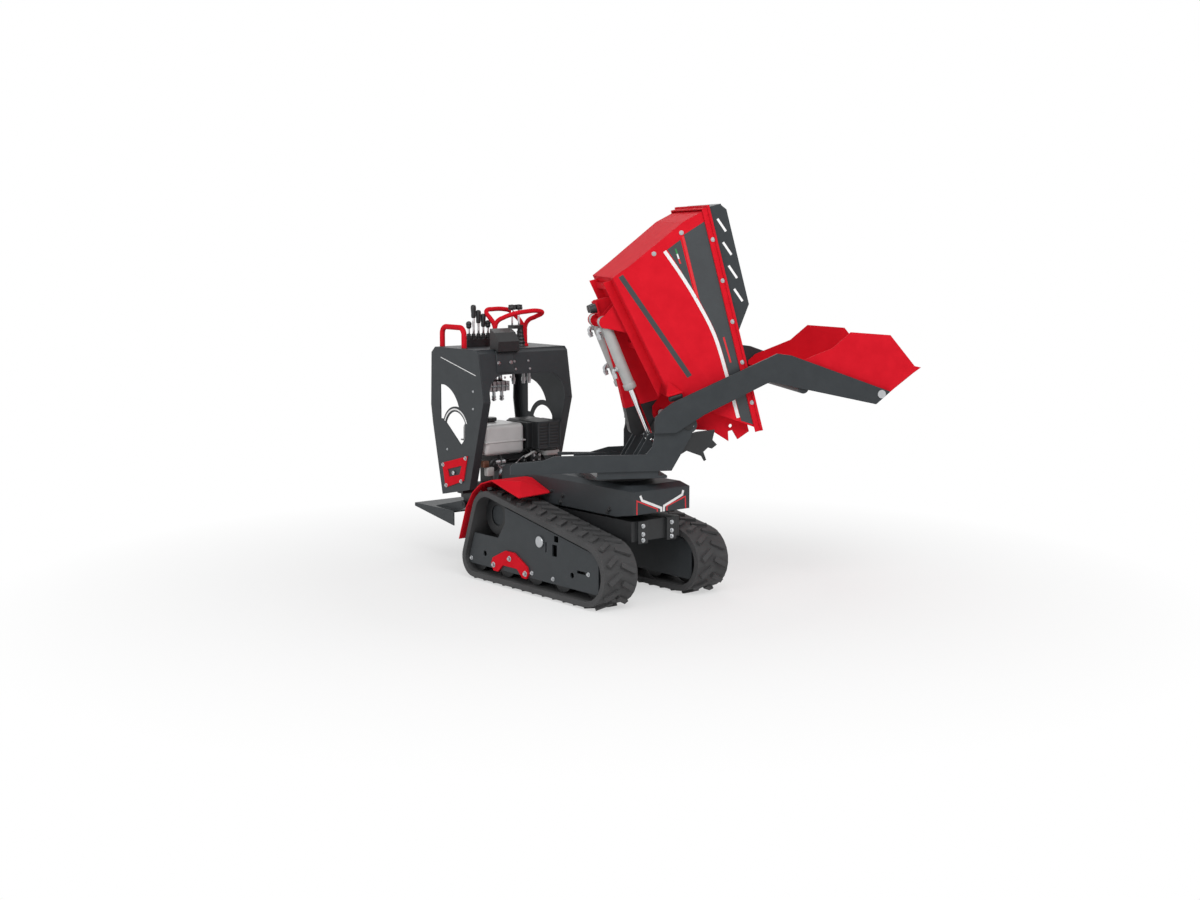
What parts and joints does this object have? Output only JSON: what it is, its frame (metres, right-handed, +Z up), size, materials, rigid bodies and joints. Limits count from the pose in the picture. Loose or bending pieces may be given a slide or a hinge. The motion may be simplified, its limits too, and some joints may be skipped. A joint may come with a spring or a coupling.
{
  "type": "tracked mini site dumper with slewing tipping skip and self-loading shovel",
  "caption": "Walk-behind rubber-tracked mini dumper: a slewing frame carries a front-tipping skip and a self-loading shovel on two cranked arms.",
  "frame": {"origin": "on the ground midway between the tracks, near the middle of their contact length", "axes": "+X forward along the chassis, +Y to the left, +Z up"},
  "size_m": [2.4164, 2.0728, 1.8906],
  "materials": {
    "red_paint": "gloss",
    "dark_paint": "satin",
    "black_parts": "matte",
    "track_rubber": "matte",
    "steel": "satin",
    "tank_plastic": "satin",
    "black_steel": "satin",
    "ram_chrome": "gloss"
  },
  "bodies": {
    "chassis": {"chassis_frame": "dark_paint", "hood": "dark_paint", "rear_cover": "dark_paint", "slew_base": "black_steel", "track_right": "track_rubber", "track_left": "track_rubber", "track_frame_right": "dark_paint", "track_frame_left": "dark_paint", "sprockets": "black_steel", "idlers": "black_steel", "rollers": "black_steel", "rockers": "red_paint", "fender_right": "red_paint", "fender_left": "red_paint", "console_side_right": "dark_paint", "console_side_left": "dark_paint", "console_top": "dark_paint", "badges": "red_paint", "control_box": "dark_paint", "valve_block": "steel", "lever_bank": "black_parts", "grab_handle": "red_paint", "handlebars": "red_paint", "drive_levers": "black_parts", "engine_block": "black_steel", "fuel_tank": "tank_plastic", "muffler": "black_steel", "carburettor": "steel", "platform_bracket": "dark_paint"},
    "platform": {"platform": "dark_paint"},
    "slew": {"turntable": "black_steel", "subframe": "dark_paint", "skip_pins": "steel"},
    "skip": {"skip_floor": "red_paint", "skip_rear": "red_paint", "skip_front": "red_paint", "skip_side_right": "red_paint", "skip_side_left": "red_paint", "skip_rim": "red_paint", "sideboard": "dark_paint", "skip_beam": "red_paint", "skip_stop": "black_parts", "hook_plates": "red_paint"},
    "tip_barrels": {"tip_barrels": "steel"},
    "tip_rods": {"tip_rods": "ram_chrome"},
    "arms": {"arm_right": "dark_paint", "arm_left": "dark_paint", "arm_tube": "dark_paint"},
    "shovel": {"shovel_floor": "red_paint", "shovel_side_right": "red_paint", "shovel_side_left": "red_paint", "shovel_pins": "steel"}
  },
  "joints": [
    {"name": "slew_turn", "type": "hinge", "parent": "chassis", "child": "slew", "pos_m": [0.175, 0, 0.6], "axis": [0, 0, 1], "range_deg": [-152, 28]},
    {"name": "skip_tip", "type": "hinge", "parent": "slew", "child": "skip", "pos_m": [0.30223, 0.23928, 0.854], "axis": [-0.8829, 0.4695, 0], "range_deg": [-75.5, 0]},
    {"name": "tip_barrel_swing", "type": "hinge", "parent": "skip", "child": "tip_barrels", "pos_m": [0.13315, -0.0787, 1.32793], "axis": [-0.8829, 0.4695, 0], "range_deg": [-12, 1]},
    {"name": "tip_rod_stroke", "type": "slide", "parent": "tip_barrels", "child": "tip_rods", "axis": [0.1786, 0.3359, -0.9248], "range_m": [-0.17, 0.005]},
    {"name": "arm_lower", "type": "hinge", "parent": "slew", "child": "arms", "pos_m": [0.26279, 0.16511, 0.88], "axis": [-0.8829, 0.4695, 0], "range_deg": [-30, 54]},
    {"name": "shovel_tilt", "type": "hinge", "parent": "arms", "child": "shovel", "pos_m": [0.74635, 1.07455, 0.983], "axis": [0.8829, -0.4695, 0], "range_deg": [-70, 0]},
    {"name": "platform_fold", "type": "hinge", "parent": "chassis", "child": "platform", "pos_m": [-0.868, 0, 0.32], "axis": [0, 1, 0], "range_deg": [0, 80]}
  ],
  "couplings": [
    {"joint": "tip_barrel_swing", "follows": "skip_tip", "ratio": 0.14333},
    {"joint": "tip_rod_stroke", "follows": "skip_tip", "m_per_rad": 0.12465}
  ]
}
